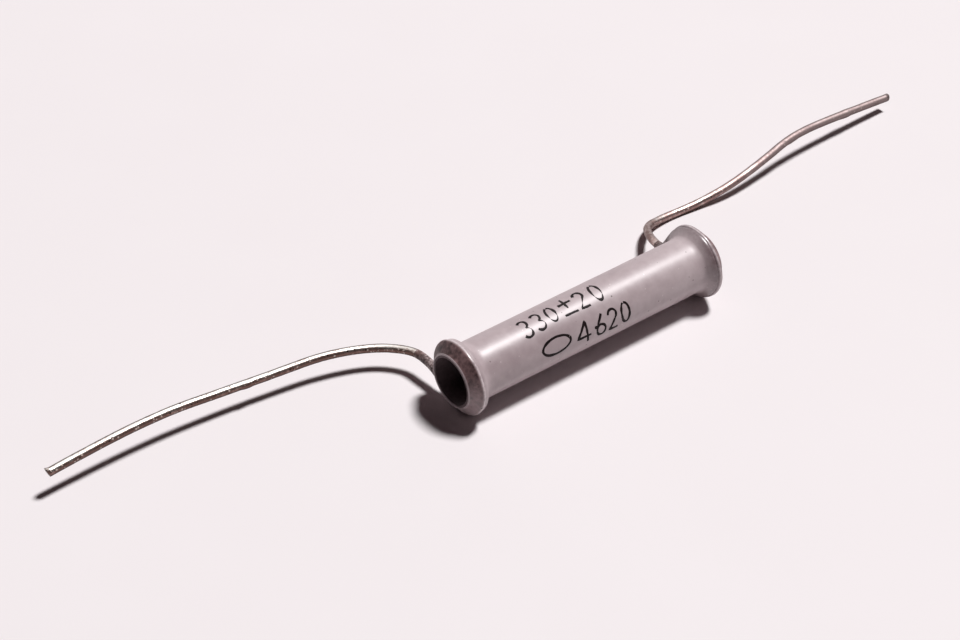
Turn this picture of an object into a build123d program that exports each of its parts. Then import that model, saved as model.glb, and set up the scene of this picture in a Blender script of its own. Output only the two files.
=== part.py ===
from build123d import *
import math
import os

# A tubular ceramic capacitor, lying on its two rims and on one lead.
# All sizes are in millimetres. The tube's axis is X, and +Z is up.
# The origin is the middle of the tube, on its axis.

# Ceramic tube, open at both ends
tube_length = 29.6
tube_radius = 2.60
tube_wall = 0.25

# Fired silver films on the two faces of the ceramic
film = 0.04
bore_margin = 2.0        # bare ceramic inside the right-hand end
wrap_length = 3.2        # inner film turned back over the left-hand end
insulating_gap = 2.5     # bare ceramic between the two films outside
outer_end_margin = 0.3   # bare ceramic outside the right-hand end

# Tinned copper leads, each wound once round its film
wire_diameter = 0.8
ring_inset = 1.1         # from the tube's end to the middle of the winding
wire_bed = 0.04          # solder left under the winding
winding_turn = 310.0     # degrees of wire round the tube
tangent_run = 1.6        # straight wire where the winding ends
bend_share = 0.45        # share of the shorter run that each bend takes

# Solder fillets beside the windings
solder_drop = 0.18       # from the winding's crest down to the solder's top
solder_top = 0.35        # half width at the top
solder_foot = 0.95       # from the winding's middle to the inner edge
solder_end_gap = 0.20    # least distance from the tube's end

# Grey enamel over everything but the bore
enamel_body = 0.15       # over the bare ceramic, on the body and at the mouth
enamel_crest = 0.17      # over the winding
crest_lead = 0.16        # from the winding's middle out to the crest
crest_round = 0.35
flare_angle = 40.0       # slope from the body up to the crest
flare_round = 2.4        # hollow where the flare leaves the body

half_length = tube_length / 2
bore_radius = tube_radius - tube_wall
film_radius = tube_radius + film
wire_radius = wire_diameter / 2
ring_x = half_length - ring_inset
ring_radius = film_radius + wire_bed + wire_radius
crest_radius = ring_radius + wire_radius + enamel_crest

# Each lead's route past its winding: points (out, y, z), where out runs along
# the tube from the winding's plane, away from the tube's middle. The left lead
# hangs clear of the table. The right one drops to it, runs along it and rises
# again, so its lowest point is level with the two rims.
on_table = -crest_radius + wire_radius
left_exit = -62.0        # degrees from +Y towards +Z where the winding ends
left_route = [
    (-0.10, 5.3, -1.50),
    (0.20, 7.3, -1.60),
    (2.50, 9.6, -1.60),
    (6.88, 11.2, -1.35),
    (11.93, 11.95, -1.50),
    (16.93, 12.53, -1.40),
    (22.43, 12.97, -1.08),
    (28.62, 12.99, -1.15),
    (34.45, 12.72, -1.42),
]
right_exit = 32.0
right_route = [
    (0.00, 4.25, -1.15),
    (0.15, 5.9, -1.15),
    (1.15, 7.8, -1.80),
    (2.65, 9.6, -2.70),
    (5.30, 10.2, on_table),
    (9.10, 9.9, on_table),
    (13.30, 9.35, -2.40),
    (18.30, 9.85, -1.70),
    (22.90, 10.55, -0.95),
    (29.30, 10.85, -1.50),
    (36.90, 11.0, -2.30),
]


def on_ring(x, angle):
    """Point of the winding's centre line at an angle from +Y towards +Z."""
    turn = math.radians(angle)
    return Vector(x, ring_radius * math.cos(turn), ring_radius * math.sin(turn))


def bend_radii(points):
    """Bend at each inner point, as large as its two runs allow."""
    radii = []
    for before, corner, after in zip(points, points[1:], points[2:]):
        run_in = corner - before
        run_out = after - corner
        half_turn = math.radians(run_in.get_angle(run_out)) / 2
        shorter = min(run_in.length, run_out.length)
        radii.append(bend_share * shorter / math.tan(half_turn))
    return radii


def formed_lead(label, side, exit_angle, winding_way, route):
    """One lead: its winding, the tangent where it leaves, and its free route."""
    x = side * ring_x
    start = on_ring(x, exit_angle - winding_way * winding_turn)
    middle = on_ring(x, exit_angle - winding_way * winding_turn / 2)
    leave = on_ring(x, exit_angle)
    turn = math.radians(exit_angle)
    way = Vector(0, -math.sin(turn), math.cos(turn)) * winding_way
    points = [leave, leave + way * tangent_run]
    points += [Vector(side * (ring_x + out), y, z) for out, y, z in route]
    radii = bend_radii(points)
    print(label, "bend radii", [round(radius, 2) for radius in radii])
    with BuildPart() as lead:
        with BuildLine() as path:
            ThreePointArc(start, middle, leave)
            FilletPolyline(*points, radius=radii)
        with BuildSketch(Plane(origin=path.wires()[0] @ 0, z_dir=path.wires()[0] % 0)):
            Circle(wire_radius)
        sweep(path=path.wires()[0])
    lead.part.label = label
    length = path.wires()[0].length
    section = math.pi * wire_radius**2
    print(label, "length", round(length, 2), "volume / (section x length)",
          round(lead.part.volume / (section * length), 4))
    return lead


def solder_fillet(label, side, lead):
    """Solder that fills in beside and under one winding."""
    outer_foot = ring_inset - solder_end_gap
    solder_radius = ring_radius + wire_radius - solder_drop
    x = side * ring_x
    with BuildPart() as fillet_ring:
        with BuildSketch(Plane.XZ):
            with BuildLine():
                Polyline(
                    (x - side * solder_foot, film_radius),
                    (x - side * solder_top, solder_radius),
                    (x + side * solder_top, solder_radius),
                    (x + side * outer_foot, film_radius),
                    close=True,
                )
            make_face()
        revolve(axis=Axis.X)
        add(lead.part, mode=Mode.SUBTRACT)
    fillet_ring.part.label = label
    return fillet_ring


with BuildPart() as ceramic_tube:
    with BuildSketch(Plane.YZ.offset(-half_length)):
        Circle(tube_radius)
        Circle(bore_radius, mode=Mode.SUBTRACT)
    extrude(amount=tube_length)
ceramic_tube.part.label = "ceramic_tube"

with BuildPart() as inner_electrode:
    with BuildSketch(Plane.XZ):
        with BuildLine():
            Polyline(
                (half_length - bore_margin, bore_radius),
                (-half_length, bore_radius),
                (-half_length, tube_radius),
                (-half_length + wrap_length, tube_radius),
                (-half_length + wrap_length, film_radius),
                (-half_length - film, film_radius),
                (-half_length - film, bore_radius - film),
                (half_length - bore_margin, bore_radius - film),
                close=True,
            )
        make_face()
    revolve(axis=Axis.X)
inner_electrode.part.label = "inner_electrode"

outer_start = -half_length + wrap_length + insulating_gap
outer_end = half_length - outer_end_margin
with BuildPart() as outer_electrode:
    with BuildSketch(Plane.YZ.offset(outer_start)):
        Circle(film_radius)
        Circle(tube_radius, mode=Mode.SUBTRACT)
    extrude(amount=outer_end - outer_start)
outer_electrode.part.label = "outer_electrode"

lead_left = formed_lead("lead_left", -1, left_exit, 1, left_route)
lead_right = formed_lead("lead_right", 1, right_exit, -1, right_route)
solder_left = solder_fillet("solder_left", -1, lead_left)
solder_right = solder_fillet("solder_right", 1, lead_right)

# The enamel's section at each end: body, hollow flare, round crest, and a cone
# that touches the crest and ends at the mouth. The corners are those that the
# sections have before they are rounded.
body_radius = tube_radius + enamel_body
crest_x = ring_x + crest_lead
crest_centre = crest_radius - crest_round
mouth_run = half_length - crest_x
mouth_drop = crest_centre - body_radius
flare = math.radians(flare_angle)
cone = math.atan2(mouth_drop, mouth_run)
cone += math.asin(crest_round / math.hypot(mouth_run, mouth_drop))
corner_reach = crest_round / math.cos((flare + cone) / 2)
corner_tilt = (cone - flare) / 2
corner_x = crest_x + corner_reach * math.sin(corner_tilt)
corner_radius = crest_centre + corner_reach * math.cos(corner_tilt)
flare_x = corner_x - (corner_radius - body_radius) / math.tan(flare)

with BuildPart() as enamel_coat:
    with BuildSketch(Plane.XZ) as section:
        with BuildLine():
            Polyline(
                (-half_length, tube_radius),
                (-half_length, body_radius),
                (-corner_x, corner_radius),
                (-flare_x, body_radius),
                (flare_x, body_radius),
                (corner_x, corner_radius),
                (half_length, body_radius),
                (half_length, tube_radius),
                close=True,
            )
        make_face()
        hollows = section.vertices().filter_by(lambda v: abs(abs(v.X) - flare_x) < 1e-6)
        fillet(hollows, radius=flare_round)
        crests = section.vertices().group_by(Axis.Y)[-1]
        fillet(crests, radius=crest_round)
    revolve(axis=Axis.X)
    add(inner_electrode.part, mode=Mode.SUBTRACT)
    add(outer_electrode.part, mode=Mode.SUBTRACT)
    add(solder_left.part, mode=Mode.SUBTRACT)
    add(solder_right.part, mode=Mode.SUBTRACT)
    add(lead_left.part, mode=Mode.SUBTRACT)
    add(lead_right.part, mode=Mode.SUBTRACT)
enamel_coat.part.label = "enamel_coat"

os.makedirs("parts", exist_ok=True)
export_step(ceramic_tube.part, "parts/ceramic_tube.step")
export_step(inner_electrode.part, "parts/inner_electrode.step")
export_step(outer_electrode.part, "parts/outer_electrode.step")
export_step(lead_left.part, "parts/lead_left.step")
export_step(lead_right.part, "parts/lead_right.step")
export_step(solder_left.part, "parts/solder_left.step")
export_step(solder_right.part, "parts/solder_right.step")
export_step(enamel_coat.part, "parts/enamel_coat.step")
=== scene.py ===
import math

import bmesh
import bpy
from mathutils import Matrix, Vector, noise


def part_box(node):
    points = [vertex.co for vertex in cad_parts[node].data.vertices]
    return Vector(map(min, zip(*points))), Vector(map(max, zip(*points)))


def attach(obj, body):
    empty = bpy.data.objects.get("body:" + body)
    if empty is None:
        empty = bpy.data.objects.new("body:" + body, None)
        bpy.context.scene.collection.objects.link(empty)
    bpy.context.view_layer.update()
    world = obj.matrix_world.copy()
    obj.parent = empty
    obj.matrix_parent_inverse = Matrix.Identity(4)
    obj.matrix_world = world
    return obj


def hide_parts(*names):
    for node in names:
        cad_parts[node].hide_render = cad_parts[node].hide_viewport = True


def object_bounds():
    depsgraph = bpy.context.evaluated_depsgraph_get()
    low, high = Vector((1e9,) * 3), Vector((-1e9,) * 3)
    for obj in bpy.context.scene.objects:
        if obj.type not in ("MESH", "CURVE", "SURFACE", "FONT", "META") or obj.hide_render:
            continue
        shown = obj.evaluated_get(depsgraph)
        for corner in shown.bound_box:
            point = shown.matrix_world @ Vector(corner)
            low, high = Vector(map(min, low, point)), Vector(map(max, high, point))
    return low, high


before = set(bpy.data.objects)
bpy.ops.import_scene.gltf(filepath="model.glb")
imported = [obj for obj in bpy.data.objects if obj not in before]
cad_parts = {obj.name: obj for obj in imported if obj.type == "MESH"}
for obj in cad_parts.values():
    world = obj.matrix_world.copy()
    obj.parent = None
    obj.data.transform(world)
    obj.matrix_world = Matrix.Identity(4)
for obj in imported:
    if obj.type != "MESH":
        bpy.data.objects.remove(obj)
cad_low, cad_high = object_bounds()

# A tubular ceramic capacitor, lying on its two enamelled rims and on one lead.
# The tube's axis is X, +Z is up, and the origin is the middle of the bore.

MM = 0.001


def mm(value):
    """A length given in millimetres, in metres."""
    return value * MM


# ---------------------------------------------------------------- sizes
tube_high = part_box("ceramic_tube")[1]
coat_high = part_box("enamel_coat")[1]
film_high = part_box("outer_electrode")[1]
HALF_LENGTH = tube_high.x
TUBE_RADIUS = tube_high.z
FILM_RADIUS = film_high.z
CREST_RADIUS = coat_high.z
TABLE_Z = cad_low.z

WIRE_RADIUS = mm(0.40)
WIRE_BED = mm(0.04)
RING_INSET = mm(1.1)
RING_X = HALF_LENGTH - RING_INSET
RING_RADIUS = FILM_RADIUS + WIRE_BED + WIRE_RADIUS
RING_STEPS = 18
WINDING_TURN = 310.0
TANGENT_RUN = mm(1.6)
TUBE_STEPS, TUBE_SIDES = 40, 24
MERGE = mm(0.0005)

BODY_RADIUS = TUBE_RADIUS + mm(0.15)
CREST_X = RING_X + mm(0.16)
CREST_ROUND = mm(0.35)
FLARE_ROUND = mm(1.65)
END_FACE_NORMAL = math.radians(30)
MOUTH_RADIUS = TUBE_RADIUS - mm(0.11)
LIP_ROUND = mm(0.065)
BODY_ROWS, ARC_ROWS, FACE_ROWS, COAT_TURN_STEPS = 70, 16, 5, 176

# Routes of the free leads past their windings, as (out, y, z) in millimetres:
# out runs along the tube from the winding's plane, away from the tube's middle.
ON_TABLE = -CREST_RADIUS / MM + WIRE_RADIUS / MM
LEFT_EXIT = -62.0
LEFT_ROUTE = [
    (-0.10, 5.3, -1.50),
    (0.20, 7.3, -1.60),
    (2.50, 9.6, -1.60),
    (6.88, 11.2, -1.35),
    (11.93, 11.95, -1.50),
    (16.93, 12.53, -1.40),
    (22.43, 12.97, -1.08),
    (28.62, 12.99, -1.15),
    (34.45, 12.72, -1.42),
]
RIGHT_EXIT = 32.0
RIGHT_ROUTE = [
    (0.00, 4.25, -1.15),
    (0.15, 5.9, -1.15),
    (1.15, 7.8, -1.80),
    (2.65, 9.6, -2.70),
    (5.30, 10.2, ON_TABLE),
    (9.10, 9.9, ON_TABLE),
    (13.30, 9.35, -2.40),
    (18.30, 9.85, -1.70),
    (22.90, 10.55, -0.95),
    (29.30, 10.85, -1.50),
    (36.90, 11.0, -2.30),
]


# ---------------------------------------------------------------- mesh helpers
def new_piece(name, bm, body="root"):
    """Make an object at the origin from a bmesh, smooth shaded, riding the body."""
    mesh = bpy.data.meshes.new(name)
    bm.to_mesh(mesh)
    bm.free()
    for face in mesh.polygons:
        face.use_smooth = True
    piece = bpy.data.objects.new(name, mesh)
    bpy.context.scene.collection.objects.link(piece)
    if body:
        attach(piece, body)
    return piece


def nurbs_line(name, points, radii=None):
    """A smooth open spline with the given control points."""
    curve = bpy.data.curves.new(name, "CURVE")
    curve.dimensions = "3D"
    spline = curve.splines.new("NURBS")
    spline.points.add(len(points) - 1)
    for index, place in enumerate(points):
        spline.points[index].co = (*place, 1.0)
        if radii:
            spline.points[index].radius = radii[index]
    spline.order_u = 3
    spline.use_endpoint_u = True
    return curve


def curve_mesh(curve):
    """The mesh of a curve datablock, as a bmesh."""
    holder = bpy.data.objects.new(curve.name, curve)
    bpy.context.scene.collection.objects.link(holder)
    bpy.context.view_layer.update()
    depsgraph = bpy.context.evaluated_depsgraph_get()
    mesh = bpy.data.meshes.new_from_object(holder.evaluated_get(depsgraph))
    bm = bmesh.new()
    bm.from_mesh(mesh)
    bpy.data.objects.remove(holder)
    bpy.data.curves.remove(curve)
    bpy.data.meshes.remove(mesh)
    return bm


def tube_along(name, points, shares=None):
    """A capped wire along a smooth spline; shares thicken it point by point."""
    curve = nurbs_line(name, points, shares)
    curve.splines[0].resolution_u = TUBE_STEPS
    curve.bevel_depth = WIRE_RADIUS
    curve.bevel_resolution = TUBE_SIDES // 2 - 2
    curve.use_fill_caps = True
    bm = curve_mesh(curve)
    bmesh.ops.remove_doubles(bm, verts=bm.verts, dist=MERGE)
    bmesh.ops.recalc_face_normals(bm, faces=bm.faces)
    return bm


# ---------------------------------------------------------------- the leads
def ring_point(side, angle, radius=RING_RADIUS):
    """A place on the winding's plane: side is -1 or 1, the angle runs from +Y to +Z."""
    turn = math.radians(angle)
    return Vector((side * RING_X, radius * math.cos(turn), radius * math.sin(turn)))


def lead_points(side, exit_angle, way, route):
    """Control points of one lead: the winding, the tangent it leaves by, the route."""
    turn = WINDING_TURN / RING_STEPS
    spread = RING_RADIUS / math.cos(math.radians(turn / 2))
    angles = [exit_angle - way * turn * (RING_STEPS - index) for index in range(RING_STEPS)]
    points = [ring_point(side, angles[0])]
    points += [ring_point(side, angle + way * turn / 2, spread) for angle in angles]
    leave = ring_point(side, exit_angle)
    out = math.radians(exit_angle)
    tangent = Vector((0, -math.sin(out), math.cos(out))) * way
    points.append(leave + tangent * TANGENT_RUN)
    points += [Vector((side * (RING_X + mm(run)), mm(y), mm(z))) for run, y, z in route]
    return points


def wire_lumps(place, seed):
    """Height of the solder runs and pits on the wire at a place, in metres."""
    shift = Vector((seed * 13.7, seed * 5.1, seed * 2.3))
    broad = noise.noise(place * 900 + shift)
    fine = noise.noise(place * 3200 + shift)
    height = mm(0.012) * broad + mm(0.008) * fine
    blob, rare = noise.noise(place * 420 + shift * 2), 0.42
    if blob > rare:
        height += mm(0.30) * (blob - rare)
    return height


def store_painted_shade(mesh, low, high):
    """Store how much painted shade each point of a wire gets: low on top, high underneath."""
    store = mesh.attributes.new("painted_shade", "FLOAT", "POINT")
    for vert in mesh.vertices:
        # Points that face +Y, away from the front, count as underneath too: this paints a shade
        # line along the wire's far top edge.
        far_side = 1.6 * max(0.0, vert.normal.y)
        facing = vert.normal.z - far_side + 0.14 * noise.noise(vert.co * 500)
        share = min(1.0, max(0.0, (1.02 - facing) * 1.25))
        store.data[vert.index].value = low + (high - low) * share


def rough_tip(bm, points, burr):
    """Turn the cut end of a wire a little slanted, with a burr on its upper edge."""
    tip, before = points[-1], points[-2]
    along = (tip - before).normalized()
    end_depth, slant, burr_from = mm(0.06), mm(0.10), 0.75
    for vert in bm.verts:
        off = vert.co - tip
        if off.dot(along) < -end_depth:
            continue
        high = off.z / WIRE_RADIUS
        vert.co += along * slant * high
        if high > burr_from:
            vert.co += (along * 0.5 + Vector((0, 0, 1))) * burr


def make_lead(name, side, exit_angle, way, route, seed, tarnish_and_shade, burr):
    """One lead, smooth where it is wound and lumpy where it is free."""
    points = lead_points(side, exit_angle, way, route)
    bm = tube_along(name, points)
    rough_tip(bm, points, burr)
    ring_reach, low_stretch = mm(0.6), mm(0.5)
    for vert in bm.verts:
        inside = math.hypot(vert.co.y, vert.co.z) < CREST_RADIUS
        if inside and abs(vert.co.x - RING_X * side) < ring_reach:
            continue
        lift = wire_lumps(vert.co, seed)
        if vert.co.z - TABLE_Z < low_stretch:
            lift = min(lift, 0.0)
        vert.co += vert.normal * lift
    for vert in bm.verts:
        vert.co.z = max(vert.co.z, TABLE_Z)
    piece = new_piece(name, bm)
    store_painted_shade(piece.data, *tarnish_and_shade)
    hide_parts(name.replace("_wire", ""))
    return piece, points


left_wire, left_points = make_lead(
    "lead_left_wire", -1, LEFT_EXIT, 1, LEFT_ROUTE, 1, (0.84, 1.54), mm(0.16))
right_wire, right_points = make_lead(
    "lead_right_wire", 1, RIGHT_EXIT, -1, RIGHT_ROUTE, 2, (1.10, 1.38), mm(0.03))


# ---------------------------------------------------------------- the enamel
def arc(centre, radius, start, end, steps):
    """Points on an arc in the (x, r) plane, angles in radians from +x to +r."""
    places = []
    for index in range(steps + 1):
        turn = start + (end - start) * index / steps
        places.append((centre[0] + radius * math.cos(turn), centre[1] + radius * math.sin(turn)))
    return places


def enamel_section():
    """Half of the enamel's outer section, from the middle to the mouth, as (x, r)."""
    crest_centre = (CREST_X, CREST_RADIUS - CREST_ROUND)
    rise = crest_centre[1] - BODY_RADIUS
    reach = math.sqrt((FLARE_ROUND + CREST_ROUND) ** 2 - (FLARE_ROUND - rise) ** 2)
    flare_start = CREST_X - reach
    flare_turn = math.asin(reach / (FLARE_ROUND + CREST_ROUND))
    places = []
    for index in range(BODY_ROWS):
        places.append((flare_start * index / BODY_ROWS, BODY_RADIUS))
    hollow = (flare_start, BODY_RADIUS + FLARE_ROUND)
    down, up = -math.pi / 2, math.pi / 2
    places += arc(hollow, FLARE_ROUND, down, down + flare_turn, ARC_ROWS)
    places += arc(crest_centre, CREST_ROUND, up + flare_turn, END_FACE_NORMAL, ARC_ROWS)[1:]
    start = Vector(places[-1])
    foot = Vector((HALF_LENGTH - mm(0.10), TUBE_RADIUS + mm(0.09)))
    places += [tuple(start.lerp(foot, row / FACE_ROWS)) for row in range(1, FACE_ROWS + 1)]
    lip = (HALF_LENGTH - mm(0.015), TUBE_RADIUS)
    places += arc(lip, LIP_ROUND, math.radians(75), math.radians(-10), 6)
    places.append((HALF_LENGTH + mm(0.040), MOUTH_RADIUS + mm(0.03)))
    places.append((HALF_LENGTH + mm(0.02), MOUTH_RADIUS))
    return places


def cavity_section():
    """Half of the enamel's inner section, from the mouth back to the middle."""
    top = RING_RADIUS + WIRE_RADIUS + mm(0.01)
    return [
        (HALF_LENGTH + mm(0.004), MOUTH_RADIUS),
        (HALF_LENGTH + mm(0.004), TUBE_RADIUS + mm(0.004)),
        (RING_X + mm(0.92), TUBE_RADIUS + mm(0.045)),
        (RING_X + mm(0.36), top),
        (RING_X - mm(0.36), top),
        (RING_X - mm(0.97), FILM_RADIUS + mm(0.005)),
    ]


def coat_lift(place):
    """How far the enamel stands off its plain turned form at a place, in metres."""
    rim_reach = mm(1.3)
    past_crest = min(1.0, abs(abs(place.x) - CREST_X) / rim_reach)
    rim = 0.5 + 0.5 * math.cos(math.pi * past_crest)
    wave = noise.noise(place * 260)
    lump = noise.noise(place * 700 + Vector((3, 5, 7)))
    fine = noise.noise(place * 1900)
    lift = mm(0.010) * wave + mm(0.004) * lump
    lift += rim * (mm(0.045) * wave + mm(0.028) * lump + mm(0.008) * fine)
    return lift - mm(0.030) * rim * (1 + place.z / CREST_RADIUS)


def make_coat():
    """The enamel, turned about the tube's axis, with its surface waved a little."""
    half = enamel_section()
    inner = cavity_section()
    right = [(x, r) for x, r in half[1:]]
    left = [(-x, r) for x, r in reversed(half)]
    outline = left + right + inner + [(-x, r) for x, r in reversed(inner)]
    bm = bmesh.new()
    verts = [bm.verts.new((x, 0, r)) for x, r in outline]
    edges = [bm.edges.new(pair) for pair in zip(verts, verts[1:] + verts[:1])]
    bmesh.ops.spin(
        bm, geom=verts + edges, cent=(0, 0, 0), axis=(1, 0, 0),
        angle=math.tau, steps=COAT_TURN_STEPS, use_merge=True, use_duplicate=False,
    )
    bmesh.ops.remove_doubles(bm, verts=bm.verts, dist=MERGE)
    bmesh.ops.recalc_face_normals(bm, faces=bm.faces)
    bm.normal_update()
    for vert in bm.verts:
        radial = math.hypot(vert.co.y, vert.co.z)
        outer = radial > BODY_RADIUS - mm(0.02)
        facing = vert.normal.y * vert.co.y + vert.normal.z * vert.co.z > 0
        if outer and facing:
            vert.co += vert.normal * coat_lift(vert.co)
    for vert in bm.verts:
        vert.co.z = max(vert.co.z, TABLE_Z)
    return bm


def make_sleeve(name, points, shares, seed):
    """Thin lacquer that has run out along a lead where it leaves the rim."""
    last_turn, tangent, first, second = points[RING_STEPS:RING_STEPS + 4]
    stretch = [last_turn.lerp(tangent, 0.5), tangent, first, first.lerp(second, 0.6)]
    bm = tube_along(name, stretch, shares)
    for vert in bm.verts:
        shift = vert.co + Vector((seed, 0, 0))
        vert.co += vert.normal * (mm(0.022) * noise.noise(shift * 1300))
    piece = new_piece(name, bm)
    start, whole = stretch[0], (stretch[-1] - stretch[0]).length
    store = piece.data.attributes.new("run", "FLOAT", "POINT")
    for vert in piece.data.vertices:
        store.data[vert.index].value = (vert.co - start).length / whole
    return piece


lacquer_left = make_sleeve("lead_lacquer_left", left_points, (1.16, 1.10, 1.08, 1.03), 1)
lacquer_right = make_sleeve("lead_lacquer_right", right_points, (1.22, 1.12, 1.08, 1.03), 2)
enamel = new_piece("enamel_skin", make_coat())
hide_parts("enamel_coat")


# ---------------------------------------------------------------- the marking
STROKE = mm(0.128)
INK_HEIGHT = mm(0.010)
SHAKE = 0.02
# The ink is thinned along the line where the highlight falls, a painted highlight: its distance
# round from the top in mm, its half width in mm, and how much of a stroke's thickness goes.
HIGHLIGHT_GAP_LINE, HIGHLIGHT_GAP_WIDTH, HIGHLIGHT_GAP_DEPTH = 0.95, 0.50, 0.85


def oval(cx, cy, rx, ry, start=0, end=360, steps=18):
    """Part of an oval as a stroke, angles in degrees."""
    places = []
    for index in range(steps + 1):
        turn = math.radians(start + (end - start) * index / steps)
        places.append((cx + rx * math.cos(turn), cy + ry * math.sin(turn)))
    return places


# Each figure is drawn in a box 1 wide and 2 high, as a list of strokes.
FIGURES = {
    "0": [oval(0.5, 1.0, 0.46, 0.98, 100, 448, 24)],
    "2": [oval(0.5, 1.48, 0.45, 0.52, 170, -50, 14) + [(0.05, 0.02), (1.0, 0.0)]],
    "3": [oval(0.45, 1.50, 0.44, 0.48, 150, -80, 12), oval(0.45, 0.52, 0.50, 0.52, 80, -150, 14)],
    "4": [[(0.80, 0.0), (0.74, 2.0), (0.0, 0.62), (1.06, 0.60)]],
    "6": [[(0.80, 1.98), (0.30, 1.25), (0.06, 0.62)], oval(0.52, 0.52, 0.47, 0.52, 180, -178, 20)],
    "+": [[(0.0, 1.22), (1.3, 1.28)], [(0.62, 1.9), (0.66, 0.62)], [(0.0, 0.06), (1.34, 0.02)]],
    ".": [oval(0.15, 0.95, 0.05, 0.06, 0, 360, 8)],
    "o": [oval(1.0, 1.0, 0.98, 0.96, 20, 378, 36)],
}

# Placed marks: (figure, x in mm, distance of its foot round from the top in mm,
# height in mm, width in mm)
TOP_LINE = [
    ("3", -7.55, 1.66, 1.86, 1.00),
    ("3", -6.05, 1.56, 1.86, 1.02),
    ("0", -4.50, 1.40, 1.70, 0.98),
    ("+", -2.95, 1.42, 2.05, 1.10),
    ("2", -1.10, 1.46, 1.90, 1.00),
    ("0", 0.68, 1.48, 1.96, 1.00),
]
LOWER_LINE = [
    ("o", -6.55, 4.25, 1.62, 1.60),
    ("4", -2.60, 4.60, 2.08, 1.45),
    (".", -0.60, 4.56, 2.00, 1.00),
    ("6", -0.42, 4.56, 2.02, 1.05),
    ("2", 1.02, 4.54, 1.94, 1.02),
    ("0", 2.55, 4.52, 1.98, 0.98),
]


def finer(corners, step=0.12):
    """The same stroke with points close enough together to bend and thin out."""
    places = []
    for first, second in zip(corners, corners[1:]):
        count = max(1, round(math.dist(first, second) / step))
        for index in range(count):
            places.append(tuple(Vector(first).lerp(Vector(second), index / count)))
    return places + [corners[-1]]


def stroke_mesh(strokes, scale_x, scale_y, x, foot):
    """Flat strokes as thin rounded rods, laid out as (x, distance round, height)."""
    curve = bpy.data.curves.new("stroke", "CURVE")
    curve.dimensions = "3D"
    for corners in strokes:
        places = finer(corners)
        spline = curve.splines.new("POLY")
        spline.points.add(len(places) - 1)
        for index, (px, py) in enumerate(places):
            shake_x, shake_y = (
                SHAKE * noise.noise(Vector((px * 3 + x, py * 3 + foot, layer))) for layer in (1, 9)
            )
            spline.points[index].co = (
                mm(x + (px + shake_x) * scale_x), mm(foot - (py + shake_y) * scale_y), 0, 1,
            )
            along = foot - py * scale_y
            # Painted highlight: strokes thin out along the highlight's line.
            worn = max(0.0, 1 - abs(along - HIGHLIGHT_GAP_LINE) / HIGHLIGHT_GAP_WIDTH)
            full = 1.0 + 0.45 * noise.noise(Vector((px * 2 + x, py * 2, 4)))
            spline.points[index].radius = full * (1 - HIGHLIGHT_GAP_DEPTH * worn)
    curve.bevel_depth = STROKE
    curve.bevel_resolution = 2
    curve.use_fill_caps = True
    return curve_mesh(curve)


def make_marking():
    """All the figures as one mesh, bent round the enamel and lying on it."""
    whole = bmesh.new()
    for figure, x, foot, height, width in TOP_LINE + LOWER_LINE:
        bm = stroke_mesh(FIGURES[figure], width, height / 2, x, foot)
        mesh = bpy.data.meshes.new("figure")
        bm.to_mesh(mesh)
        bm.free()
        whole.from_mesh(mesh)
        bpy.data.meshes.remove(mesh)
    for vert in whole.verts:
        around = vert.co.y / BODY_RADIUS + math.pi / 2
        outward = Vector((0, math.cos(around), math.sin(around)))
        centre = Vector((vert.co.x, 0, 0))
        lift = coat_lift(centre + outward * BODY_RADIUS)
        vert.co = centre + outward * (BODY_RADIUS + lift + vert.co.z / STROKE * INK_HEIGHT)
    bmesh.ops.recalc_face_normals(whole, faces=whole.faces)
    return whole


marking = new_piece("marking_ink", make_marking())


# ---------------------------------------------------------------- shader helpers
FLOAT = "NodeSocketFloat"


def shader_group(name, inputs, outputs):
    """A node group with named inputs (name, kind, default) and outputs (name, kind)."""
    tree = bpy.data.node_groups.new(name, "ShaderNodeTree")
    for label, kind, default in inputs:
        socket = tree.interface.new_socket(label, in_out="INPUT", socket_type=kind)
        socket.default_value = default
    for label, kind in outputs:
        tree.interface.new_socket(label, in_out="OUTPUT", socket_type=kind)
    return tree, tree.nodes.new("NodeGroupInput"), tree.nodes.new("NodeGroupOutput")


def add_node(tree, kind, **values):
    """A new node with some of its own settings."""
    node = tree.nodes.new(kind)
    for key, value in values.items():
        setattr(node, key, value)
    return node


def ramp(tree, stops, source):
    """A colour ramp through stops of (position, colour)."""
    node = tree.nodes.new("ShaderNodeValToRGB")
    elements = node.color_ramp.elements
    elements[0].position, elements[1].position = stops[0][0], stops[-1][0]
    elements[0].color, elements[1].color = stops[0][1], stops[-1][1]
    for position, colour in stops[1:-1]:
        elements.new(position).color = colour
    tree.links.new(source, node.inputs["Fac"])
    return node


def grey(value):
    """An even grey as a colour."""
    return (value, value, value, 1)


def make_specks():
    """Round specks scattered over a surface: a mask, with its size and amount."""
    tree, start, end = shader_group(
        "scattered_specks",
        [("Scale", FLOAT, 900.0), ("Radius", FLOAT, 0.18), ("Amount", FLOAT, 0.3)],
        [("Mask", FLOAT)],
    )
    place = add_node(tree, "ShaderNodeTexCoord")
    cells = add_node(tree, "ShaderNodeTexVoronoi")
    tree.links.new(place.outputs["Object"], cells.inputs["Vector"])
    tree.links.new(start.outputs["Scale"], cells.inputs["Scale"])
    inside = add_node(tree, "ShaderNodeMath", operation="LESS_THAN")
    tree.links.new(cells.outputs["Distance"], inside.inputs[0])
    tree.links.new(start.outputs["Radius"], inside.inputs[1])
    parts = add_node(tree, "ShaderNodeSeparateColor")
    tree.links.new(cells.outputs["Color"], parts.inputs["Color"])
    chosen = add_node(tree, "ShaderNodeMath", operation="LESS_THAN")
    tree.links.new(parts.outputs[0], chosen.inputs[0])
    tree.links.new(start.outputs["Amount"], chosen.inputs[1])
    both = add_node(tree, "ShaderNodeMath", operation="MULTIPLY")
    tree.links.new(inside.outputs[0], both.inputs[0])
    tree.links.new(chosen.outputs[0], both.inputs[1])
    tree.links.new(both.outputs[0], end.inputs["Mask"])
    return tree


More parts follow.
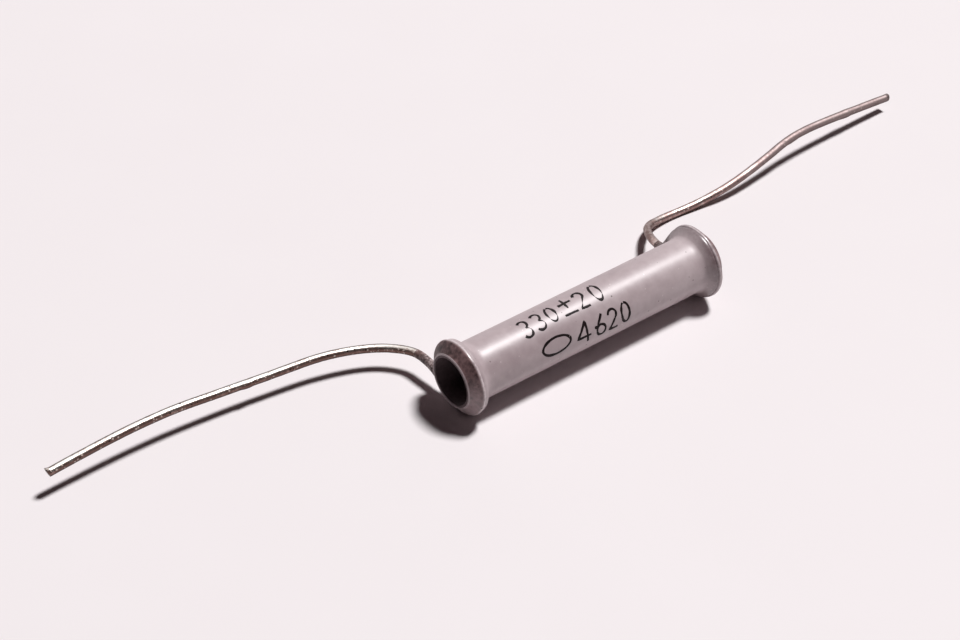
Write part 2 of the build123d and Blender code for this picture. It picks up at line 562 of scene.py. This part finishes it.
def make_mottle():
    """Two-size cloudy variation from 0 to 1."""
    tree, start, end = shader_group(
        "cloudy_mottle",
        [("Broad Scale", FLOAT, 200.0), ("Fine Scale", FLOAT, 1500.0), ("Fine Share", FLOAT, 0.35)],
        [("Value", FLOAT)],
    )
    place = add_node(tree, "ShaderNodeTexCoord")
    broad = add_node(tree, "ShaderNodeTexNoise")
    broad.inputs["Detail"].default_value = 4
    fine = add_node(tree, "ShaderNodeTexNoise")
    fine.inputs["Detail"].default_value = 3
    for texture, label in ((broad, "Broad Scale"), (fine, "Fine Scale")):
        tree.links.new(place.outputs["Object"], texture.inputs["Vector"])
        tree.links.new(start.outputs[label], texture.inputs["Scale"])
    mix = add_node(tree, "ShaderNodeMix")
    tree.links.new(start.outputs["Fine Share"], mix.inputs["Factor"])
    tree.links.new(broad.outputs["Fac"], mix.inputs["A"])
    tree.links.new(fine.outputs["Fac"], mix.inputs["B"])
    tree.links.new(mix.outputs["Result"], end.inputs["Value"])
    return tree


SPECKS = make_specks()
MOTTLE = make_mottle()


def material(name):
    """A new material, its node tree and its surface shader."""
    made = bpy.data.materials.new(name)
    made.use_nodes = True
    tree = made.node_tree
    return made, tree, tree.nodes["Principled BSDF"]


def use_group(tree, group, **values):
    """A shared group with its inputs set."""
    node = tree.nodes.new("ShaderNodeGroup")
    node.node_tree = group
    for key, value in values.items():
        node.inputs[key.replace("_", " ")].default_value = value
    return node


def blend_colour(tree, factor, first, second):
    """Mix two colours, each a socket or a plain colour, by a factor socket."""
    node = add_node(tree, "ShaderNodeMix", data_type="RGBA")
    tree.links.new(factor, node.inputs["Factor"])
    for label, value in (("A", first), ("B", second)):
        socket = [s for s in node.inputs if s.name == label and s.type == "RGBA"][0]
        if isinstance(value, tuple):
            socket.default_value = value
        else:
            tree.links.new(value, socket)
    return [s for s in node.outputs if s.type == "RGBA"][0]


def bump(tree, height, strength, distance, shader):
    """Relief from a height, on the shader's normal."""
    node = add_node(tree, "ShaderNodeBump")
    node.inputs["Strength"].default_value = strength
    node.inputs["Distance"].default_value = distance
    tree.links.new(height, node.inputs["Height"])
    tree.links.new(node.outputs["Normal"], shader.inputs["Normal"])


def span(tree, source, low, high, first=0.0, last=1.0):
    """A value that runs evenly from first to last between two places."""
    node = add_node(tree, "ShaderNodeMapRange")
    tree.links.new(source, node.inputs["Value"])
    limits = {"From Min": low, "From Max": high, "To Min": first, "To Max": last}
    for key, value in limits.items():
        node.inputs[key].default_value = value
    return node.outputs["Result"]


def times(tree, first, second):
    """The product of two values."""
    node = add_node(tree, "ShaderNodeMath", operation="MULTIPLY")
    tree.links.new(first, node.inputs[0])
    tree.links.new(second, node.inputs[1])
    return node.outputs[0]


def axes(tree):
    """The three object axes and the distance from the middle along the tube."""
    place = add_node(tree, "ShaderNodeTexCoord")
    parts = add_node(tree, "ShaderNodeSeparateXYZ")
    tree.links.new(place.outputs["Object"], parts.inputs[0])
    far = add_node(tree, "ShaderNodeMath", operation="ABSOLUTE")
    tree.links.new(parts.outputs["X"], far.inputs[0])
    return parts.outputs["X"], parts.outputs["Z"], far.outputs[0]


ENAMEL_TONES = [
    (0.30, (0.342, 0.266, 0.280, 1)),
    (0.50, (0.418, 0.336, 0.350, 1)),
    (0.70, (0.497, 0.412, 0.426, 1)),
]
DARK_SPECK = (0.22, 0.165, 0.17, 1)
LIGHT_SPECK = (0.54, 0.46, 0.47, 1)
PIT = (0.10, 0.065, 0.065, 1)
# Colour of a painted shade band on the right-hand rim's flare.
RIGHT_FLARE_SHADE = (0.125, 0.076, 0.084, 1)
# Colour of a painted highlight along the rims' crests.
CREST_GLINT = (0.72, 0.64, 0.65, 1)
# Tones of the painted shade on the rims' end faces.
END_SHADE_TONES = [(0.38, (0.046, 0.022, 0.022, 1)), (0.62, (0.262, 0.158, 0.160, 1))]
HOLE = (0.02, 0.01, 0.01, 1)


def enamel_material():
    """Mauve grey enamel, specked all over and thin round the rims, with painted shade on the end
    faces and the right flare and a painted highlight along the crests.
    """
    made, tree, shader = material("grey_enamel")
    tone = use_group(tree, MOTTLE, Broad_Scale=140.0, Fine_Scale=1400.0, Fine_Share=0.35)
    colours = ramp(tree, ENAMEL_TONES, tone.outputs[0])
    dark = use_group(tree, SPECKS, Scale=2600.0, Radius=0.20, Amount=0.05)
    light = use_group(tree, SPECKS, Scale=3100.0, Radius=0.22, Amount=0.06)
    pits = use_group(tree, SPECKS, Scale=950.0, Radius=0.085, Amount=0.14)
    spotted = colours.outputs["Color"]
    for mask, colour in ((dark, DARK_SPECK), (light, LIGHT_SPECK), (pits, PIT)):
        spotted = blend_colour(tree, mask.outputs[0], spotted, colour)
    along, height, far = axes(tree)
    cloud = use_group(tree, MOTTLE, Broad_Scale=420.0, Fine_Scale=2600.0, Fine_Share=0.5)
    # Painted shade: a dark band on the inboard flare of the right-hand rim only, broken by the
    # cloud.
    flare_shade = times(
        tree,
        span(tree, along, CREST_X - mm(1.15), CREST_X - mm(0.45), 0.0, 0.88),
        span(tree, along, CREST_X - mm(0.22), CREST_X - mm(0.03), 1.0, 0.0),
    )
    flare_shade = times(tree, flare_shade, span(tree, cloud.outputs[0], 0.34, 0.60, 1.0, 0.55))
    spotted = blend_colour(tree, flare_shade, spotted, RIGHT_FLARE_SHADE)
    # Painted highlight: a light line along both crests, broken by the cloud.
    crest_glint = times(
        tree,
        span(tree, far, CREST_X - mm(0.16), CREST_X - mm(0.05), 0.0, 0.65),
        span(tree, far, CREST_X + mm(0.03), CREST_X + mm(0.12), 1.0, 0.0),
    )
    crest_glint = times(tree, crest_glint, span(tree, cloud.outputs[0], 0.42, 0.54))
    spotted = blend_colour(tree, crest_glint, spotted, CREST_GLINT)
    ends = times(
        tree,
        span(tree, far, CREST_X - mm(0.04), CREST_X + mm(0.18)),
        span(tree, far, HALF_LENGTH - mm(0.050), HALF_LENGTH - mm(0.012), 1.0, 0.20),
    )
    # Painted shade: the end faces go dark, more towards the top, and the mouth's lip keeps a fifth
    # of it.
    end_shade = times(tree, ends, span(tree, height, mm(-2.6), mm(2.2), 0.26, 0.98))
    end_shade_colours = ramp(tree, END_SHADE_TONES, cloud.outputs[0])
    spotted = blend_colour(tree, end_shade, spotted, end_shade_colours.outputs["Color"])
    holes = use_group(tree, SPECKS, Scale=1500.0, Radius=0.13, Amount=0.45)
    spotted = blend_colour(tree, times(tree, ends, holes.outputs[0]), spotted, HOLE)
    tree.links.new(spotted, shader.inputs["Base Color"])
    worn = span(tree, tone.outputs[0], 0.3, 0.7, 0.40, 0.48)
    glossy = span(tree, far, CREST_X - mm(0.9), CREST_X - mm(0.25), 1.0, 0.62)
    matt = span(tree, far, CREST_X + mm(0.02), CREST_X + mm(0.16), 1.0, 1.7)
    tree.links.new(times(tree, worn, times(tree, glossy, matt)), shader.inputs["Roughness"])
    shine_level = span(tree, end_shade, 0.0, 1.0, 0.50, 0.14)
    tree.links.new(shine_level, shader.inputs["Specular IOR Level"])
    shader.inputs["IOR"].default_value = 1.70
    bump(tree, tone.outputs[0], 0.55, mm(0.05), shader)
    return made


PIT_TONE = (0.07, 0.04, 0.034, 1)
BRIGHT_TONE = (0.58, 0.48, 0.43, 1)
DULL_TONE = (0.315, 0.250, 0.248, 1)
# EDGE_TONE, EDGE_SPAN and the edge depths set a painted shade line along the wires' edges.
EDGE_TONE = (0.034, 0.021, 0.019, 1)
EDGE_SPAN = (0.36, 0.58)
LEFT_EDGE_DEPTH, RIGHT_EDGE_DEPTH = 0.90, 0.45


def wire_material(name, tones, brights, pit_share, dull_from, dull_to, edge_depth):
    """Tinned wire, clean on top, brown underneath as painted shade, specked, dull further out.

    tones run from clean to brown, the brown both patchy tarnish and painted shade; brights
    and pit_share are the shares of bright specks and pits; dull_from and dull_to are places
    along the tube's axis; edge_depth is how far the colour is drawn to EDGE_TONE where the
    surface is seen edge on, a painted shade line: it follows the viewer and isn't a mark on
    the wire, and 0 leaves it out.
    """
    made, tree, shader = material(name)
    tone = use_group(tree, MOTTLE, Broad_Scale=520.0, Fine_Scale=3000.0, Fine_Share=0.45)
    # Painted shade: the stored value darkens the wire underneath and along its far top edge.
    shade_attribute = add_node(tree, "ShaderNodeAttribute", attribute_name="painted_shade")
    tarnish_and_shade = add_node(tree, "ShaderNodeMath", operation="MULTIPLY_ADD")
    tree.links.new(tone.outputs[0], tarnish_and_shade.inputs[0])
    tarnish_and_shade.inputs[1].default_value = -1.9
    tree.links.new(shade_attribute.outputs["Fac"], tarnish_and_shade.inputs[2])
    stops = [(stop, (*tint, 1)) for stop, tint in zip((0.00, 0.12, 0.30, 0.55), tones)]
    spotted = ramp(tree, stops, tarnish_and_shade.outputs[0]).outputs["Color"]
    pits = use_group(tree, SPECKS, Scale=3300.0, Radius=0.32, Amount=pit_share)
    bright = use_group(tree, SPECKS, Scale=3900.0, Radius=0.40, Amount=brights)
    spotted = blend_colour(tree, pits.outputs[0], spotted, PIT_TONE)
    spotted = blend_colour(tree, bright.outputs[0], spotted, BRIGHT_TONE)
    along = axes(tree)[0]
    dull = span(tree, along, dull_from, dull_to, 0.0, 0.85)
    spotted = blend_colour(tree, dull, spotted, DULL_TONE)
    # Painted shade: the colour goes dark where the wire is seen edge on, following the viewer.
    edge = add_node(tree, "ShaderNodeLayerWeight")
    edge.inputs["Blend"].default_value = 0.5
    outline = span(tree, edge.outputs["Facing"], *EDGE_SPAN, 0.0, edge_depth)
    spotted = blend_colour(tree, outline, spotted, EDGE_TONE)
    tree.links.new(spotted, shader.inputs["Base Color"])
    metal = add_node(tree, "ShaderNodeMath", operation="SUBTRACT")
    metal.inputs[0].default_value = 1.0
    tree.links.new(bright.outputs[0], metal.inputs[1])
    tree.links.new(metal.outputs[0], shader.inputs["Metallic"])
    rough = span(tree, tarnish_and_shade.outputs[0], 0.05, 0.5, 0.31, 0.46)
    coarse = add_node(tree, "ShaderNodeMath", operation="MULTIPLY_ADD")
    tree.links.new(dull, coarse.inputs[0])
    coarse.inputs[1].default_value = 0.30
    tree.links.new(rough, coarse.inputs[2])
    tree.links.new(coarse.outputs[0], shader.inputs["Roughness"])
    bump(tree, tone.outputs[0], 0.5, mm(0.04), shader)
    return made


def lacquer_material():
    """Thin lacquer over wire: dull, mottled, dark at the body, red-brown where it ends."""
    made, tree, shader = material("lacquered_wire")
    tone = use_group(tree, MOTTLE, Broad_Scale=900.0, Fine_Scale=4200.0, Fine_Share=0.5)
    colours = ramp(tree, [
        (0.40, (0.034, 0.018, 0.017, 1)),
        (0.50, (0.160, 0.108, 0.106, 1)),
        (0.60, (0.450, 0.365, 0.362, 1)),
    ], tone.outputs[0])
    run = add_node(tree, "ShaderNodeAttribute", attribute_name="run")
    start = span(tree, run.outputs["Fac"], 0.05, 0.30, 0.85, 0.0)
    finish = span(tree, run.outputs["Fac"], 0.80, 0.95, 0.0, 0.45)
    shaded = blend_colour(tree, start, colours.outputs["Color"], (0.035, 0.018, 0.018, 1))
    shaded = blend_colour(tree, finish, shaded, (0.150, 0.060, 0.045, 1))
    tree.links.new(shaded, shader.inputs["Base Color"])
    shader.inputs["Roughness"].default_value = 0.45
    bump(tree, tone.outputs[0], 0.5, mm(0.05), shader)
    return made


def plain_material(name, broad, fine_ratio, fine_share, stops, roughness, relief):
    """A mottled surface; roughness is one value or (low, high), relief (strength, depth)."""
    made, tree, shader = material(name)
    tone = use_group(
        tree, MOTTLE, Broad_Scale=broad, Fine_Scale=broad * fine_ratio, Fine_Share=fine_share,
    )
    colours = ramp(tree, stops, tone.outputs[0])
    tree.links.new(colours.outputs["Color"], shader.inputs["Base Color"])
    if isinstance(roughness, tuple):
        rough = span(tree, tone.outputs[0], 0.3, 0.7, *roughness)
        tree.links.new(rough, shader.inputs["Roughness"])
    else:
        shader.inputs["Roughness"].default_value = roughness
    if relief:
        bump(tree, tone.outputs[0], *relief, shader)
    return made, shader


def solder_material():
    """Dull soft solder."""
    stops = [(0.32, (0.30, 0.29, 0.28, 1)), (0.68, (0.62, 0.61, 0.60, 1))]
    made, shader = plain_material("soft_solder", 700.0, 6, 0.4, stops, (0.35, 0.6), (0.4, mm(0.02)))
    shader.inputs["Metallic"].default_value = 1.0
    return made


def silver_material():
    """Fired silver film, tarnished almost black."""
    stops = [(0.32, (0.046, 0.027, 0.029, 1)), (0.68, (0.130, 0.090, 0.098, 1))]
    return plain_material("fired_silver", 500.0, 6, 0.4, stops, 0.7, (0.4, mm(0.02)))[0]


def ceramic_material():
    """Dark fired ceramic."""
    stops = [(0.3, (0.030, 0.019, 0.018, 1)), (0.7, (0.070, 0.048, 0.045, 1))]
    return plain_material("fired_ceramic", 600.0, 20 / 3, 0.5, stops, 0.6, (0.3, mm(0.02)))[0]


def ink_material():
    """Matt black printing ink."""
    stops = [(0.34, (0.004, 0.002, 0.002, 1)), (0.72, (0.018, 0.010, 0.011, 1))]
    made, shader = plain_material(
        "marking_ink", 900.0, 50 / 9, 0.5, stops, 0.50, (0.3, mm(0.01)))
    shader.inputs["Specular IOR Level"].default_value = 0.12
    return made


def table_material():
    """A matt, very slightly pink white board."""
    stops = [(0.3, (0.832, 0.790, 0.802, 1)), (0.7, (0.850, 0.812, 0.824, 1))]
    made, shader = plain_material("pale_table", 6.0, 15, 0.3, stops, 0.8, None)
    shader.inputs["Specular IOR Level"].default_value = 0.0
    return made


def dress(piece, made):
    """Give a piece its one material."""
    piece.data.materials.clear()
    piece.data.materials.append(made)


def dress_node(name, made):
    """Give a carried-over solid its material."""
    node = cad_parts[name]
    for slot in node.material_slots:
        slot.material = made
    if not node.material_slots:
        node.data.materials.append(made)


LEFT_TONES = (0.76, 0.70, 0.66), (0.55, 0.46, 0.42), (0.31, 0.205, 0.18), (0.175, 0.105, 0.090)
RIGHT_TONES = (0.75, 0.66, 0.635), (0.60, 0.475, 0.450), (0.46, 0.32, 0.30), (0.29, 0.178, 0.163)
PAST_TIP = mm(90), mm(99)
RIGHT_DULL = mm(24), mm(33)
dress(left_wire, wire_material("tinned_wire", LEFT_TONES, 0.24, 0.16, *PAST_TIP,
                               LEFT_EDGE_DEPTH))
dress(right_wire, wire_material("dull_tinned_wire", RIGHT_TONES, 0.08, 0.08, *RIGHT_DULL,
                                RIGHT_EDGE_DEPTH))
LACQUER = lacquer_material()
dress(lacquer_left, LACQUER)
dress(lacquer_right, LACQUER)
dress(enamel, enamel_material())
dress(marking, ink_material())
SILVER = silver_material()
SOLDER = solder_material()
dress_node("inner_electrode", SILVER)
dress_node("outer_electrode", SILVER)
dress_node("solder_left", SOLDER)
dress_node("solder_right", SOLDER)
dress_node("ceramic_tube", ceramic_material())


# ---------------------------------------------------------------- table, light, camera
TABLE_HALF_SIZE = 3.0
LAMP_DISTANCE = 4.0
LAMP_SPREAD = math.radians(11.5)
LAMP_STRENGTH = 3.66
LAMP_AZIMUTH, LAMP_ELEVATION = 94, 65
LAMP_COLOUR = (1.0, 0.985, 0.985)
LENS, SENSOR = 88.87, 36
CAMERA_AIM = Vector((mm(-7.36), mm(5.49), mm(-0.19)))
CAMERA_DISTANCE = mm(215.33)
CAMERA_AZIMUTH, CAMERA_ELEVATION = 217.71, 38.69
FILL = [
    (0.00, (0.003, 0.001, 0.001, 1)),
    (0.15, (0.007, 0.004, 0.004, 1)),
    (0.60, (0.066, 0.047, 0.051, 1)),
    (1.00, (0.078, 0.056, 0.060, 1)),
]
MIRRORED = [(0.0, grey(0.03)), (0.20, grey(0.07)), (0.55, grey(0.75)), (1.0, grey(1.0))]
BACKDROP = (0.80, 0.77, 0.78, 1)
SCREEN_SIDE = (0.20, 0.75, 0.63)


def make_table():
    """The flat board that the rims rest on."""
    bm = bmesh.new()
    bmesh.ops.create_grid(bm, x_segments=2, y_segments=2, size=TABLE_HALF_SIZE)
    for vert in bm.verts:
        vert.co.z = TABLE_Z
    table = new_piece("table_top", bm, body=None)
    dress(table, table_material())


def direction(azimuth, elevation):
    """Unit vector towards a light or a camera: azimuth from +Y towards +X."""
    a, e = math.radians(azimuth), math.radians(elevation)
    return Vector((math.sin(a) * math.cos(e), math.cos(a) * math.cos(e), math.sin(e)))


def make_key():
    """One soft round lamp, high up past the tube's right-hand end, near its axis line."""
    lamp = bpy.data.lights.new("key", "POINT")
    lamp.energy = LAMP_STRENGTH * 4 * math.pi * LAMP_DISTANCE ** 2
    lamp.shadow_soft_size = LAMP_DISTANCE * math.tan(LAMP_SPREAD / 2)
    lamp.color = LAMP_COLOUR
    key = bpy.data.objects.new("key", lamp)
    key.location = direction(LAMP_AZIMUTH, LAMP_ELEVATION) * LAMP_DISTANCE
    bpy.context.scene.collection.objects.link(key)


def make_world():
    """A screen above and behind: dim as fill, far brighter in reflections only.

    What the camera sees past the table is a plain pale backdrop.
    """
    world = bpy.data.worlds.new("studio")
    bpy.context.scene.world = world
    world.use_nodes = True
    tree = world.node_tree
    background = tree.nodes["Background"]
    place = add_node(tree, "ShaderNodeTexCoord")
    towards = add_node(tree, "ShaderNodeVectorMath", operation="DOT_PRODUCT")
    towards.inputs[1].default_value = SCREEN_SIDE
    tree.links.new(place.outputs["Generated"], towards.inputs[0])
    fill = ramp(tree, FILL, towards.outputs["Value"]).outputs["Color"]
    mirrored = ramp(tree, MIRRORED, towards.outputs["Value"]).outputs["Color"]
    path = add_node(tree, "ShaderNodeLightPath")
    chosen = blend_colour(tree, path.outputs["Is Glossy Ray"], fill, mirrored)
    chosen = blend_colour(tree, path.outputs["Is Camera Ray"], chosen, BACKDROP)
    tree.links.new(chosen, background.inputs["Color"])


def make_camera():
    """A long lens above and to the left of the front, looking down."""
    data = bpy.data.cameras.new("camera")
    data.sensor_width = SENSOR
    data.lens = LENS
    camera = bpy.data.objects.new("camera", data)
    back = direction(CAMERA_AZIMUTH, CAMERA_ELEVATION)
    camera.location = CAMERA_AIM + back * CAMERA_DISTANCE
    camera.rotation_mode = "QUATERNION"
    camera.rotation_quaternion = (-back).to_track_quat("-Z", "Y")
    data.clip_start, data.clip_end = 0.01, 20
    bpy.context.scene.collection.objects.link(camera)
    bpy.context.scene.camera = camera


make_table()
make_key()
make_world()
make_camera()
bpy.context.scene.view_settings.view_transform = "Standard"
